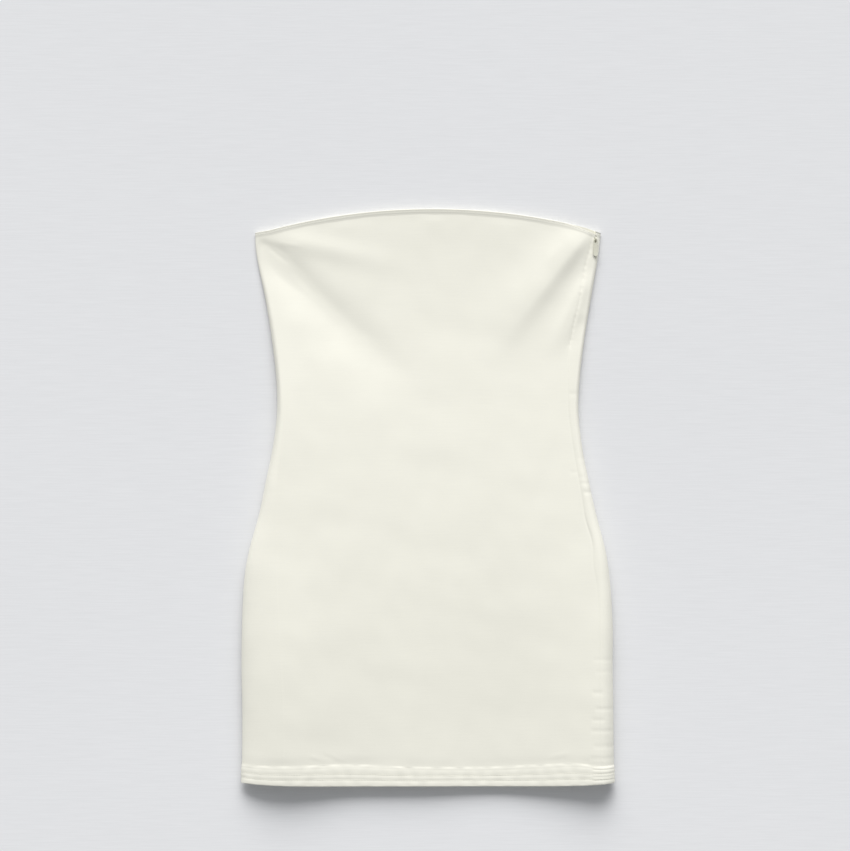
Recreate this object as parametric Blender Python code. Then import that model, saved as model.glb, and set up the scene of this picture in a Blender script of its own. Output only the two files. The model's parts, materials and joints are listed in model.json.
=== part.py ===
"""Strapless stretch dress with a concealed side zip, laid flat on its back panel.

The dress is a tube of thin cloth: a flat back panel on the surface, and a front panel that lies on it at
the top and rises off it towards the hem. X is across, +Y points to the top edge and +Z up from the surface.
Tables and sizes are in millimetres. "down" is the distance below the highest point of the top edge.
"""

import math

import bmesh
import bpy
from mathutils import Matrix, Vector

MM = 0.001

# Driving sizes
LENGTH = 634.5
TOP_ARC_RADIUS = 700.0
TOP_ARC_MIDDLE = 5.0
TOP_HALF_WIDTH = 189.5
HEM_CORNER_RISE = 4.0
SEAM_GAP = 0.3

# Cloth
PANEL_WALL = 1.2
LYING_ROOM = 0.2
LYING_SOFTNESS = 1.0
BINDING_WIDTH = 5.5
BINDING_WALL = 2.1
BINDING_PROUD = 0.5
BINDING_BACK_SHOWS = 2.4
HEM_WIDTH = 22.0
HEM_WALL = 2.2
HEM_PROUD = 0.8
SEAM_BAND_WIDTH = 12.5
SEAM_BAND_RISE = 0.5

# Zip
ZIP_LENGTH = 268.0
ZIP_TAPE_WIDTH = 11.0
ZIP_TAPE_WALL = 0.8
ZIP_TAPE_GAP = 0.5
ZIP_TAPE_DROOP = 0.6
ZIP_HINGE_DOWN = 34.4
ZIP_HINGE_HEIGHT = 1.25
ZIP_TILT = 18.0
ZIP_SLIT_EXTRA = 1.0
SLIDER_TILT = 6.0
SLIDER_GAP = 0.6
SLIDER_LENGTH = 8.0
SLIDER_WALL = 1.3
SLIDER_INSIDE = 3.0
SLIDER_OUTSIDE = 1.3
BRIDGE_WIDTH = 1.2
BRIDGE_HOLE_RADIUS = 1.15
BRIDGE_RING_RADIUS = 2.05
PULL_LENGTH = 20.0
PULL_THICKNESS = 1.0
PULL_TOP_WIDTH = 4.4
PULL_LOW_WIDTH = 5.6
PULL_BAR_RADIUS = 0.65
PULL_EYE_WIDTH = 2.4
PULL_EYE_LENGTH = 4.0

# Outline of the body seen from above: distance of the left and right edge from the middle line
OUTLINE_COLUMNS = ("down", "left", "right")
OUTLINE = (
    (24.0, 189.6, 189.9),
    (40.0, 189.6, 188.8),
    (60.0, 188.0, 186.0),
    (100.0, 178.6, 179.2),
    (145.0, 171.2, 171.9),
    (190.0, 166.3, 166.8),
    (225.0, 165.8, 165.7),
    (260.0, 170.0, 169.4),
    (300.0, 178.2, 177.0),
    (335.0, 185.4, 185.0),
    (370.0, 195.2, 194.0),
    (400.0, 201.0, 199.2),
    (440.0, 203.8, 202.5),
    (500.0, 204.9, 203.2),
    (560.0, 204.0, 203.9),
    (634.5, 204.9, 204.9),
)

# Height of the front above the surface, at the left shoulder, in the middle and at the right shoulder
LOFT_COLUMNS = ("down", "left", "middle", "right")
LOFT = (
    (0.0, 5.2, 5.2, 6.0),
    (30.0, 5.2, 5.2, 6.8),
    (60.0, 5.0, 5.3, 6.9),
    (100.0, 5.8, 5.8, 7.3),
    (150.0, 10.0, 7.7, 8.6),
    (200.0, 14.4, 10.2, 10.8),
    (250.0, 17.4, 12.4, 13.2),
    (300.0, 19.6, 14.2, 15.6),
    (360.0, 21.2, 15.6, 18.6),
    (430.0, 22.8, 16.4, 21.2),
    (500.0, 22.4, 15.8, 21.4),
    (560.0, 20.8, 14.5, 20.9),
    (634.5, 18.8, 12.6, 20.0),
)
LOFT_MIDDLE_AT = 30.0
LOFT_CURVE = 2.2

# Round of the side folds: how far in from the outline the round reaches, and the height of the side seam
FOLD_COLUMNS = ("down", "left_round", "right_round", "seam_height")
SIDE_FOLD = (
    (0.0, 7.0, 7.0, 2.3),
    (60.0, 7.0, 7.5, 2.3),
    (130.0, 9.0, 8.0, 3.2),
    (220.0, 11.0, 9.0, 5.0),
    (320.0, 16.0, 10.0, 6.6),
    (420.0, 28.0, 12.0, 7.6),
    (520.0, 42.0, 14.0, 7.6),
    (634.5, 46.0, 15.0, 7.2),
)
UNDER_ROUND_SHARE = 0.7

# The zip's slit lies on top near the top edge, and turns to the side below: angle up the side fold
SLIT_COLUMNS = ("down", "angle")
SLIT = (
    (0.0, 72.0),
    (46.0, 70.0),
    (66.0, 30.0),
    (82.0, 4.0),
    (100.0, 0.0),
    (634.5, 0.0),
)

# Folds that run from the top corners over the bust. Each has a start and an end point, a half width on its
# upper and on its lower side, how many times wider it is at its end, and a height, below zero for a trough
CREASE_COLUMNS = ("x0", "down0", "x1", "down1", "above", "below", "widen", "height")
CREASES = (
    (-174.0, 43.0, -32.0, 172.0, 10.0, 24.0, 1.9, -2.9),
    (-160.0, 31.0, -36.0, 58.0, 8.0, 9.0, 1.6, 0.7),
    (-138.0, 46.0, -64.0, 74.0, 8.0, 8.0, 1.5, -0.3),
    (178.0, 40.0, 104.0, 128.0, 28.0, 11.0, 1.3, 3.5),
    (180.0, 62.0, 130.0, 152.0, 7.0, 9.0, 1.5, 1.7),
    (166.0, 118.0, 146.0, 164.0, 6.0, 8.0, 1.3, -0.8),
)

# Mesh rows and columns
BUST_ROWS = 19
SKIRT_ROWS = 20
BUST_SHARE = 0.28
TOP_COLUMNS = 24
EDGE_CROWDING = 0.5
ROUND_COLUMNS = 4
FLAT_COLUMNS = 7
SLIT_ROWS = (0.0015, 0.0035, 0.0065, 0.0095, 0.0122, 0.018)

MATERIALS = {
    "jersey": ((0.86, 0.85, 0.77, 1.0), 0.75, 0.0),
    "binding": ((0.82, 0.81, 0.72, 1.0), 0.75, 0.0),
    "zip_tape": ((0.80, 0.78, 0.68, 1.0), 0.85, 0.0),
    "zip_metal": ((0.78, 0.76, 0.66, 1.0), 0.45, 0.0),
}


def remove_everything():
    for old in list(bpy.data.objects):
        bpy.data.objects.remove(old, do_unlink=True)


def read(table, columns, name, down):
    """Smooth value of one column of a table at a distance down: a cubic with slopes from the rows around."""
    place = columns.index(name)
    rows = [(row[0], row[place]) for row in table]
    if down <= rows[0][0]:
        return rows[0][1]
    if down >= rows[-1][0]:
        return rows[-1][1]
    slopes = []
    for i in range(len(rows)):
        before = rows[max(i - 1, 0)]
        after = rows[min(i + 1, len(rows) - 1)]
        slopes.append((after[1] - before[1]) / (after[0] - before[0]))
    for i in range(len(rows) - 1):
        low, high = rows[i], rows[i + 1]
        if down <= high[0]:
            span = high[0] - low[0]
            t = (down - low[0]) / span
            rise = high[1] - low[1]
            a = slopes[i] * span - rise
            b = rise - slopes[i + 1] * span
            return low[1] + t * rise + t * (1 - t) * (a * (1 - t) + b * t)
    return rows[-1][1]


def ease(t):
    t = min(max(t, 0.0), 1.0)
    return t * t * (3 - 2 * t)


def crowd(t):
    """Spread columns so that they stand closer near both ends, where the folds are narrow."""
    even = 1 - EDGE_CROWDING
    return even * t + EDGE_CROWDING * (1 - math.cos(math.pi * t)) / 2


def top_line(x):
    """Distance down of the curved top edge at x."""
    across = x - TOP_ARC_MIDDLE
    return TOP_ARC_RADIUS - math.sqrt(TOP_ARC_RADIUS ** 2 - across ** 2)


def hem_line(x):
    """Distance down of the hem, which turns up a little at both corners."""
    return LENGTH - HEM_CORNER_RISE * abs(x / 205.0) ** 6


def crease_height(x, down):
    """Sum of the folds at one point of the front."""
    total = 0.0
    for x0, down0, x1, down1, above, below, widen, height in CREASES:
        run_x = x1 - x0
        run_down = down1 - down0
        run = math.hypot(run_x, run_down)
        t = ((x - x0) * run_x + (down - down0) * run_down) / run ** 2
        off = ((x - x0) * run_down - (down - down0) * run_x) / math.copysign(run, run_x)
        width = (above if off > 0 else below) * (1 + (widen - 1) * min(max(t, 0.0), 1.0))
        start = ease((t + 0.12) / 0.3)
        fade = 1 - ease((t - 0.45) / 0.75)
        total += height * start * fade * math.exp(-((off / width) ** 2))
    return total


def front_height(x, down):
    """Height of the front's outer face above the surface."""
    left = read(LOFT, LOFT_COLUMNS, "left", down)
    middle = read(LOFT, LOFT_COLUMNS, "middle", down)
    right = read(LOFT, LOFT_COLUMNS, "right", down)
    left_edge = -read(OUTLINE, OUTLINE_COLUMNS, "left", down)
    right_edge = read(OUTLINE, OUTLINE_COLUMNS, "right", down)
    left_in = left_edge + read(SIDE_FOLD, FOLD_COLUMNS, "left_round", down)
    right_in = right_edge - read(SIDE_FOLD, FOLD_COLUMNS, "right_round", down)
    if x < LOFT_MIDDLE_AT:
        share = min((LOFT_MIDDLE_AT - x) / (LOFT_MIDDLE_AT - left_in), 1.0)
        height = middle + (left - middle) * share ** LOFT_CURVE
    else:
        share = min((x - LOFT_MIDDLE_AT) / (right_in - LOFT_MIDDLE_AT), 1.0)
        height = middle + (right - middle) * share ** LOFT_CURVE
    band = ease((x - (right_edge - SEAM_BAND_WIDTH - 1.0)) / 2.0) * ease((down - 24.0) / 10.0)
    return settle(height + SEAM_BAND_RISE * band + crease_height(x, down))


def settle(height):
    """Keep the front above the back panel that it lies on, with a soft meeting of the two."""
    lying = 2 * PANEL_WALL + SEAM_GAP + LYING_ROOM
    if height > lying + LYING_SOFTNESS:
        return height
    return lying + LYING_SOFTNESS * math.exp((height - lying - LYING_SOFTNESS) / LYING_SOFTNESS)


class Row:
    """One line across the dress, between the top edge and the hem, with the sizes of its two side folds."""

    def __init__(self, share, from_top, from_hem):
        self.share = share
        self.from_top = from_top
        self.from_hem = from_hem
        self.left_down = self.down_at(-TOP_HALF_WIDTH, -205.0)
        self.right_down = self.down_at(TOP_HALF_WIDTH, 205.0)
        self.left = -read(OUTLINE, OUTLINE_COLUMNS, "left", self.left_down)
        self.right = read(OUTLINE, OUTLINE_COLUMNS, "right", self.right_down)
        self.left_round = read(SIDE_FOLD, FOLD_COLUMNS, "left_round", self.left_down)
        self.right_round = read(SIDE_FOLD, FOLD_COLUMNS, "right_round", self.right_down)
        self.left_seam = read(SIDE_FOLD, FOLD_COLUMNS, "seam_height", self.left_down)
        self.right_seam = read(SIDE_FOLD, FOLD_COLUMNS, "seam_height", self.right_down)
        self.slit = math.radians(max(read(SLIT, SLIT_COLUMNS, "angle", self.right_down), 0.0))
        middle = abs(self.right_down - ZIP_HINGE_DOWN)
        self.slit_extra = ZIP_SLIT_EXTRA * (1 - ease((middle - 3.2) / 4.0))

    def down_at(self, top_x, hem_x):
        top = top_line(top_x) + self.from_top
        low = hem_line(hem_x) - self.from_hem
        return top + (low - top) * self.share

    def down(self, x):
        """Distance down of this row at x, from the places of x on the top edge and the hem."""
        across = (x - self.left) / (self.right - self.left)
        top_x = TOP_HALF_WIDTH * (2 * across - 1)
        hem_x = 205.0 * (2 * across - 1)
        return self.down_at(top_x, hem_x)

    def fold_over(self, side, angle, inset):
        """Point on the upper part of a side fold: angle 0 is the outline, 90 degrees the shoulder."""
        seam = self.left_seam if side < 0 else self.right_seam
        edge = self.left if side < 0 else self.right
        reach = self.left_round if side < 0 else self.right_round
        outer_x = edge - side * reach * (1 - math.cos(angle))
        down = self.down(outer_x)
        x = edge - side * (inset + (reach - inset) * (1 - math.cos(angle)))
        z = seam + (front_height(outer_x, down) - inset - seam) * math.sin(angle)
        return x, down, z

    def fold_under(self, side, angle, inset, proud):
        """Point on the lower part of a side fold: angle 0 is the outline, 90 degrees the flat underside."""
        seam = self.left_seam if side < 0 else self.right_seam
        edge = self.left if side < 0 else self.right
        reach = (self.left_round if side < 0 else self.right_round) * UNDER_ROUND_SHARE
        outer_x = edge - side * reach * (1 - math.cos(angle))
        down = self.down(outer_x)
        depth = inset - proud
        x = edge - side * (depth + (reach - depth) * (1 - math.cos(angle)))
        z = seam + (inset - seam) * math.sin(angle)
        return x, down, z

    def top_at(self, share, inset):
        start = self.left + self.left_round
        end = self.right - self.right_round
        x = start + (end - start) * share
        down = self.down(x)
        return x, down, front_height(x, down) - inset

    def flat_at(self, share, inset):
        start = self.left + self.left_round * UNDER_ROUND_SHARE
        end = self.right - self.right_round * UNDER_ROUND_SHARE
        x = start + (end - start) * share
        return x, self.down(x), inset

    def slit_gap(self, inset, extra):
        """Angle that half the seam gap takes on the right side fold, at the slit."""
        reach = self.right_round - inset
        x = self.right - self.right_round * (1 - math.cos(self.slit))
        rise = front_height(x, self.down(x)) - inset - self.right_seam
        per_angle = math.hypot(reach * math.sin(self.slit), rise * math.cos(self.slit))
        return (SEAM_GAP / 2 + extra) / per_angle

    def left_gap(self, inset, upper):
        x = self.left
        if upper:
            room = front_height(x, self.down(x)) - inset - self.left_seam
        else:
            room = self.left_seam - inset
        return math.asin(SEAM_GAP / 2 / max(room, 2 * SEAM_GAP))


def front_line(row, inset):
    """Points of the front across one row, from the left seam to the right seam."""
    quarter = math.pi / 2
    start = row.left_gap(inset, True)
    stop = row.slit + row.slit_gap(inset, row.slit_extra)
    points = []
    for i in range(ROUND_COLUMNS):
        points.append(row.fold_over(-1, start + (quarter - start) * i / ROUND_COLUMNS, inset))
    for i in range(TOP_COLUMNS + 1):
        points.append(row.top_at(crowd(i / TOP_COLUMNS), inset))
    for i in range(1, ROUND_COLUMNS + 1):
        points.append(row.fold_over(1, quarter + (stop - quarter) * i / ROUND_COLUMNS, inset))
    return points


def back_line(row, inset, proud=0.0):
    """Points of the back across one row, from the left seam, under the dress, to the right seam."""
    quarter = math.pi / 2
    start = row.left_gap(inset, False)
    stop = row.slit - row.slit_gap(inset, row.slit_extra)
    points = []
    for i in range(ROUND_COLUMNS):
        points.append(row.fold_under(-1, start + (quarter - start) * i / ROUND_COLUMNS, inset, proud))
    for i in range(FLAT_COLUMNS + 1):
        points.append(row.flat_at(i / FLAT_COLUMNS, inset))
    turn = quarter + stop
    for i in range(1, 2 * ROUND_COLUMNS + 1):
        angle = turn * i / (2 * ROUND_COLUMNS) - quarter
        if angle < 0:
            points.append(row.fold_under(1, -angle, inset, proud))
        else:
            points.append(row.fold_over(1, angle, inset - proud))
    return points


def tape_line(row, inset):
    """Points of the zip across one row: under the front, round the side and over the back."""
    quarter = math.pi / 2
    points = []
    inner = row.right - row.right_round - ZIP_TAPE_WIDTH + 6.0
    free_edge = front_height(inner, row.down(inner)) - inset - ZIP_TAPE_DROOP
    points.append((inner, row.down(inner), free_edge))
    for i in range(5):
        points.append(row.fold_over(1, quarter * (1 - i / 4), inset))
    for i in range(1, 5):
        points.append(row.fold_under(1, quarter * i / 4, inset, 0.0))
    points.append((inner, row.down(inner), inset))
    return points


def world(point):
    x, down, z = point
    return Vector((x * MM, (LENGTH / 2 - down) * MM, z * MM))


def material(name):
    made = bpy.data.materials.get(name)
    if made:
        return made
    made = bpy.data.materials.new(name)
    made.use_nodes = True
    colour, roughness, metallic = MATERIALS[name]
    shader = made.node_tree.nodes["Principled BSDF"]
    shader.inputs["Base Color"].default_value = colour
    shader.inputs["Roughness"].default_value = roughness
    shader.inputs["Metallic"].default_value = metallic
    return made


def add_object(name, bm, slot, origin=None):
    """Make an object from a finished mesh; with an origin matrix the mesh is already in that local frame."""
    bmesh.ops.recalc_face_normals(bm, faces=bm.faces)
    mesh = bpy.data.meshes.new(name)
    bm.to_mesh(mesh)
    bm.free()
    mesh.shade_smooth()
    mesh.set_sharp_from_angle(angle=math.radians(50))
    mesh.materials.append(material(slot))
    made = bpy.data.objects.new(name, mesh)
    bpy.context.scene.collection.objects.link(made)
    if origin:
        made.matrix_world = origin
    return made


def add_wall(name, outer_rows, inner_rows, slot):
    """A closed wall of cloth between an outer and an inner grid of points."""
    bm = bmesh.new()
    outer = [[bm.verts.new(world(p)) for p in row] for row in outer_rows]
    inner = [[bm.verts.new(world(p)) for p in row] for row in inner_rows]
    rows, columns = len(outer), len(outer[0])
    for r in range(rows - 1):
        for c in range(columns - 1):
            bm.faces.new((outer[r][c], outer[r + 1][c], outer[r + 1][c + 1], outer[r][c + 1]))
            bm.faces.new((inner[r][c], inner[r][c + 1], inner[r + 1][c + 1], inner[r + 1][c]))
    for c in range(columns - 1):
        bm.faces.new((outer[0][c], outer[0][c + 1], inner[0][c + 1], inner[0][c]))
        bm.faces.new((outer[-1][c], inner[-1][c], inner[-1][c + 1], outer[-1][c + 1]))
    for r in range(rows - 1):
        bm.faces.new((outer[r][0], inner[r][0], inner[r + 1][0], outer[r + 1][0]))
        bm.faces.new((outer[r][-1], outer[r + 1][-1], inner[r + 1][-1], inner[r][-1]))
    return add_object(name, bm, slot)


def add_panels():
    from_top = BINDING_WIDTH + SEAM_GAP
    from_hem = HEM_WIDTH + SEAM_GAP
    shares = [BUST_SHARE * i / BUST_ROWS for i in range(BUST_ROWS + 1)]
    shares += [BUST_SHARE + (1 - BUST_SHARE) * i / SKIRT_ROWS for i in range(1, SKIRT_ROWS + 1)]
    shares = sorted(shares + list(SLIT_ROWS))
    rows = [Row(share, from_top, from_hem) for share in shares]
    outer = [front_line(row, 0.0) for row in rows]
    inner = [front_line(row, PANEL_WALL) for row in rows]
    add_wall("front_panel", outer, inner, "jersey")
    outer = [back_line(row, 0.0) for row in rows]
    inner = [back_line(row, PANEL_WALL) for row in rows]
    add_wall("back_panel", outer, inner, "jersey")


def add_binding(name, line, proud_of):
    """The edge strip: a flattened round section along the top edge."""
    deep = BINDING_WALL - BINDING_PROUD
    profile_columns = ("from_top", "face")
    profile = ((0.0, 0.25), (0.9, 0.0), (2.6, 0.14), (4.4, 0.0), (BINDING_WIDTH, 0.2))
    outer = []
    inner = []
    for values in profile:
        part = dict(zip(profile_columns, values))
        row = Row(0.0, part["from_top"], HEM_WIDTH)
        lift = 0.0 if proud_of else BINDING_PROUD - part["face"]
        side = BINDING_PROUD - part["face"] if proud_of else 0.0
        outer.append(line(row, -lift, side) if proud_of else line(row, -lift))
        inner.append(line(row, BINDING_WALL, 0.0) if proud_of else line(row, deep))
    if proud_of:
        outer = [raise_back(points) for points in outer]
        inner = [raise_back(points) for points in inner]
    add_wall(name, outer, inner, "binding")


def raise_back(points):
    """The back's top edge stands a little higher than the front's towards the zip and the left seam."""
    moved = []
    for x, down, z in points:
        near_zip = ease((x - 150.0) / 30.0)
        near_seam = 0.4 * ease((-150.0 - x) / 30.0)
        moved.append((x, down - BINDING_BACK_SHOWS * max(near_zip, near_seam), z))
    return moved


def add_hem_bands():
    """The hem: a doubled band, proud of the panels, its outer face ribbed by two rows of stitching."""
    profile = ((0.0, 0.2), (1.2, 0.0), (7.4, 0.0), (8.4, 0.25), (9.4, 0.0), (15.0, 0.0), (16.0, 0.25),
               (17.0, 0.0), (21.0, 0.0), (HEM_WIDTH, 0.3))
    rows = [(Row(1.0, BINDING_WIDTH, HEM_WIDTH - at), face) for at, face in profile]
    outer = [front_line(row, face - HEM_PROUD) for row, face in rows]
    inner = [front_line(row, HEM_WALL - HEM_PROUD) for row, face in rows]
    add_wall("hem_band_front", outer, inner, "jersey")
    outer = [back_line(row, 0.0, HEM_PROUD - face) for row, face in rows]
    inner = [back_line(row, HEM_WALL, HEM_PROUD) for row, face in rows]
    add_wall("hem_band_back", outer, inner, "jersey")


def hinge_frame():
    """Place and tilt of the pull tab's hinge: its axis runs across, over the slit."""
    span = LENGTH - top_line(TOP_HALF_WIDTH)
    row = Row((ZIP_HINGE_DOWN - top_line(TOP_HALF_WIDTH)) / span, 0.0, 0.0)
    at = world(row.fold_over(1, row.slit, -ZIP_HINGE_HEIGHT))
    return Matrix.Translation(at) @ Matrix.Rotation(math.radians(ZIP_TILT), 4, "Y")


def add_zip_chain():
    slider_end = ZIP_HINGE_DOWN + SLIDER_LENGTH / 2 + 1.5
    span = LENGTH - top_line(TOP_HALF_WIDTH)
    outer = []
    inner = []
    steps = 22
    for i in range(steps + 1):
        down = slider_end + ZIP_LENGTH * i / steps
        row = Row((down - top_line(TOP_HALF_WIDTH)) / span, 0.0, 0.0)
        start = PANEL_WALL + ZIP_TAPE_GAP
        outer.append(tape_line(row, start))
        inner.append(tape_line(row, start + ZIP_TAPE_WALL))
    add_wall("zip_chain", outer, inner, "zip_tape")


def add_block(bm, low, high):
    """A box between two corners, in millimetres, in the local frame."""
    size = [(b - a) * MM for a, b in zip(low, high)]
    middle = [(a + b) / 2 * MM for a, b in zip(low, high)]
    matrix = Matrix.Translation(middle) @ Matrix.Diagonal((*size, 1.0))
    return bmesh.ops.create_cube(bm, size=1.0, matrix=matrix)


def add_zip_slider():
    """Slider body under the slit, a neck up through it and the half ring that holds the pull."""
    frame = hinge_frame()
    bm = bmesh.new()
    top = -(ZIP_HINGE_HEIGHT + PANEL_WALL + SLIDER_GAP)
    half = SLIDER_LENGTH / 2
    add_block(bm, (-SLIDER_INSIDE, -half, top - SLIDER_WALL), (SLIDER_OUTSIDE, half, top))
    bmesh.ops.bevel(bm, geom=list(bm.edges), offset=0.35 * MM, segments=1, affect="EDGES")
    level = Matrix.Rotation(math.radians(SLIDER_TILT - ZIP_TILT), 3, "Y")
    bmesh.ops.rotate(bm, cent=(0.0, 0.0, top * MM), matrix=level, verts=bm.verts)
    body = add_object("zip_slider", bm, "zip_metal", frame)
    arch = bmesh.new()
    outline = []
    steps = 10
    for i in range(steps + 1):
        angle = math.pi * i / steps
        outline.append((BRIDGE_RING_RADIUS * math.cos(angle), BRIDGE_RING_RADIUS * math.sin(angle)))
    outline.append((-BRIDGE_RING_RADIUS, top - SLIDER_WALL / 2))
    outline.append((BRIDGE_RING_RADIUS, top - SLIDER_WALL / 2))
    hole = []
    for i in range(2 * steps):
        angle = math.pi * i / steps
        hole.append((BRIDGE_HOLE_RADIUS * math.cos(angle), BRIDGE_HOLE_RADIUS * math.sin(angle)))
    add_plate(arch, outline, BRIDGE_WIDTH)
    ring = add_object("slider_bridge_tool", arch, "zip_metal", frame)
    drill = bmesh.new()
    add_plate(drill, hole, 3 * BRIDGE_WIDTH)
    cutter = add_object("slider_hole_tool", drill, "zip_metal", frame)
    join_and_cut(body, ring, cutter)


def add_plate(bm, outline, width):
    """Extrude an outline of (y, z) points across X."""
    left = [bm.verts.new((-width / 2 * MM, y * MM, z * MM)) for y, z in outline]
    right = [bm.verts.new((width / 2 * MM, y * MM, z * MM)) for y, z in outline]
    bm.faces.new(left)
    bm.faces.new(list(reversed(right)))
    count = len(outline)
    for i in range(count):
        bm.faces.new((left[i], right[i], right[(i + 1) % count], left[(i + 1) % count]))


def join_and_cut(body, addition, cutter):
    for tool, operation in ((addition, "UNION"), (cutter, "DIFFERENCE")):
        change = body.modifiers.new(operation.lower(), "BOOLEAN")
        change.object = tool
        change.operation = operation
        change.solver = "EXACT"
        tool.hide_render = True
        tool.display_type = "WIRE"


def pull_outline():
    """Teardrop seen from above, in the local frame: a narrow round top, widest near the low end."""
    points = []
    steps = 9
    top_radius = PULL_TOP_WIDTH / 2
    low_radius = PULL_LOW_WIDTH / 2
    top_y = PULL_BAR_RADIUS - top_radius
    low_y = PULL_BAR_RADIUS - PULL_LENGTH + low_radius
    for i in range(steps + 1):
        angle = math.pi * i / steps
        points.append((top_radius * math.cos(angle), top_y + top_radius * math.sin(angle)))
    for i in range(steps + 1):
        angle = math.pi + math.pi * i / steps
        points.append((low_radius * math.cos(angle), low_y + low_radius * math.sin(angle)))
    return points


def eye_outline():
    """The eye under the pull's top bar: a rounded slot."""
    points = []
    steps = 6
    radius = PULL_EYE_WIDTH / 2
    high = -PULL_BAR_RADIUS - radius
    low = -PULL_BAR_RADIUS - PULL_EYE_LENGTH + radius
    for i in range(steps + 1):
        angle = math.pi * i / steps
        points.append((radius * math.cos(angle), high + radius * 0.9 * math.sin(angle)))
    for i in range(steps + 1):
        angle = math.pi + math.pi * i / steps
        points.append((radius * math.cos(angle), low + radius * math.sin(angle)))
    return points


def add_zip_pull():
    frame = hinge_frame()
    bm = bmesh.new()
    plan = pull_outline()
    half = PULL_THICKNESS / 2
    soft = 0.25
    rings = ((-half, 1.0 - soft / 3), (-half + soft, 1.0), (half - soft, 1.0), (half, 1.0 - soft / 3))
    middle_y = -PULL_LENGTH / 2
    layers = []
    for z, scale in rings:
        layer = []
        for x, y in plan:
            layer.append(bm.verts.new((x * scale * MM, (middle_y + (y - middle_y) * scale) * MM, z * MM)))
        layers.append(layer)
    bm.faces.new(list(reversed(layers[0])))
    bm.faces.new(layers[-1])
    count = len(plan)
    for lower, upper in zip(layers, layers[1:]):
        for i in range(count):
            bm.faces.new((lower[i], lower[(i + 1) % count], upper[(i + 1) % count], upper[i]))
    pull = add_object("zip_pull", bm, "zip_metal", frame)
    drill = bmesh.new()
    low = [drill.verts.new((x * MM, y * MM, -3 * half * MM)) for x, y in eye_outline()]
    high = [drill.verts.new((x * MM, y * MM, 3 * half * MM)) for x, y in eye_outline()]
    drill.faces.new(list(reversed(low)))
    drill.faces.new(high)
    count = len(low)
    for i in range(count):
        drill.faces.new((low[i], low[(i + 1) % count], high[(i + 1) % count], high[i]))
    cutter = add_object("pull_eye_tool", drill, "zip_metal", frame)
    change = pull.modifiers.new("eye", "BOOLEAN")
    change.object = cutter
    change.operation = "DIFFERENCE"
    change.solver = "EXACT"
    cutter.hide_render = True
    cutter.display_type = "WIRE"


def build():
    remove_everything()
    add_panels()
    add_binding("top_binding_front", front_line, False)
    add_binding("top_binding_back", back_line, True)
    add_hem_bands()
    add_zip_chain()
    add_zip_slider()
    add_zip_pull()


build()
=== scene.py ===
import json
import math
import bpy
import bmesh
import numpy as np
from mathutils import Matrix, Vector


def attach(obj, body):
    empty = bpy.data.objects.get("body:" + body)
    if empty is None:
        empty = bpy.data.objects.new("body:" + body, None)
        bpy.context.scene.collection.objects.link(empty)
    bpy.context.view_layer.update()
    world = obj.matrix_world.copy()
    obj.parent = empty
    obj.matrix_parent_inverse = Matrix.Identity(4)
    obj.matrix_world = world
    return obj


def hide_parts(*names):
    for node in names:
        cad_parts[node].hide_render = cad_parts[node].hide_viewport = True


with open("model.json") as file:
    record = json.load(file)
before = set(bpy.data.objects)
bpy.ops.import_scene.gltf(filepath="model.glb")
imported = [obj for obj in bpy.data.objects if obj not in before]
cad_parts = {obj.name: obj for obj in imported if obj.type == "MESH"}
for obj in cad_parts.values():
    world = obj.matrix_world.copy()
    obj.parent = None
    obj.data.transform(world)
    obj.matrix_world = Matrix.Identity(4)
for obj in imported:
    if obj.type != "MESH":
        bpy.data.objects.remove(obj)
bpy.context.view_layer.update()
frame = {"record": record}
mm = 0.001
quarter = math.pi / 2

# Sizes are in millimetres. "down" is the distance below the highest point of the top edge.
# X runs across the dress, Y points to the top edge and Z up from the floor.


# Form of the dress, shared by all the cloth pieces

dress = {
    "length": 634.5,
    "topArcRadius": 700.0,
    "topArcMiddle": 5.0,
    "topHalfWidth": 189.5,
    "rightCornerSag": 1.7,  # the top edge leaves its arc near both corners
    "leftCornerRise": 1.3,
    "cornerReach": 17.0,
    "hemHalfWidth": 205.0,
    "hemCornerRise": 4.0,
    "seamGap": 0.3,
    "wall": 1.0,            # the jersey, a little thinner than its solid
    "layers": 2.4,          # two panels lying on each other
    "lyingRoom": 0.5,
    "lyingSoftness": 1.0,
    "bindingWidth": 5.5,
    "hemWidth": 22.0,
    "loftMiddle": 30.0,
    "loftCurve": 2.2,
    "underRound": 0.7,
    "turnIn": (0.45, 0.2, 0.06),  # depth of the last columns, where cloth turns in at a seam
    "seamCrowding": 1.3,    # columns lie closer together towards a seam
    "foldedEdge": 0.6,      # how much of an outer face's rounding its inner face follows
}

# half widths of the body, seen from above
outline = {
    "down": (24.0, 40.0, 60.0, 100.0, 145.0, 190.0, 225.0, 260.0, 300.0, 335.0, 370.0, 400.0, 440.0, 500.0,
             560.0, 634.5),
    "left": (189.6, 189.4, 186.6, 178.4, 171.2, 166.3, 165.8, 170.0, 178.2, 185.4, 195.2, 201.0, 203.8, 204.9,
             204.0, 204.9),
    "right": (189.9, 188.8, 186.0, 179.2, 171.9, 166.8, 165.7, 169.4, 177.0, 185.0, 194.0, 199.2, 202.5, 203.2,
              203.9, 204.9),
}

# height of the front over the floor, at both shoulders and in the middle
loft = {
    "down": (0.0, 30.0, 60.0, 100.0, 150.0, 200.0, 250.0, 300.0, 360.0, 430.0, 500.0, 560.0, 634.5),
    "left": (5.2, 5.2, 5.6, 8.4, 12.4, 16.6, 19.6, 21.6, 23.2, 25.0, 25.0, 22.6, 18.6),
    "middle": (5.2, 5.2, 5.3, 5.8, 7.7, 10.2, 12.4, 14.2, 15.6, 16.4, 15.8, 14.5, 12.6),
    "right": (6.0, 6.8, 7.0, 7.6, 9.0, 11.2, 13.6, 16.0, 18.8, 21.4, 21.8, 21.3, 19.6),
}

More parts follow.
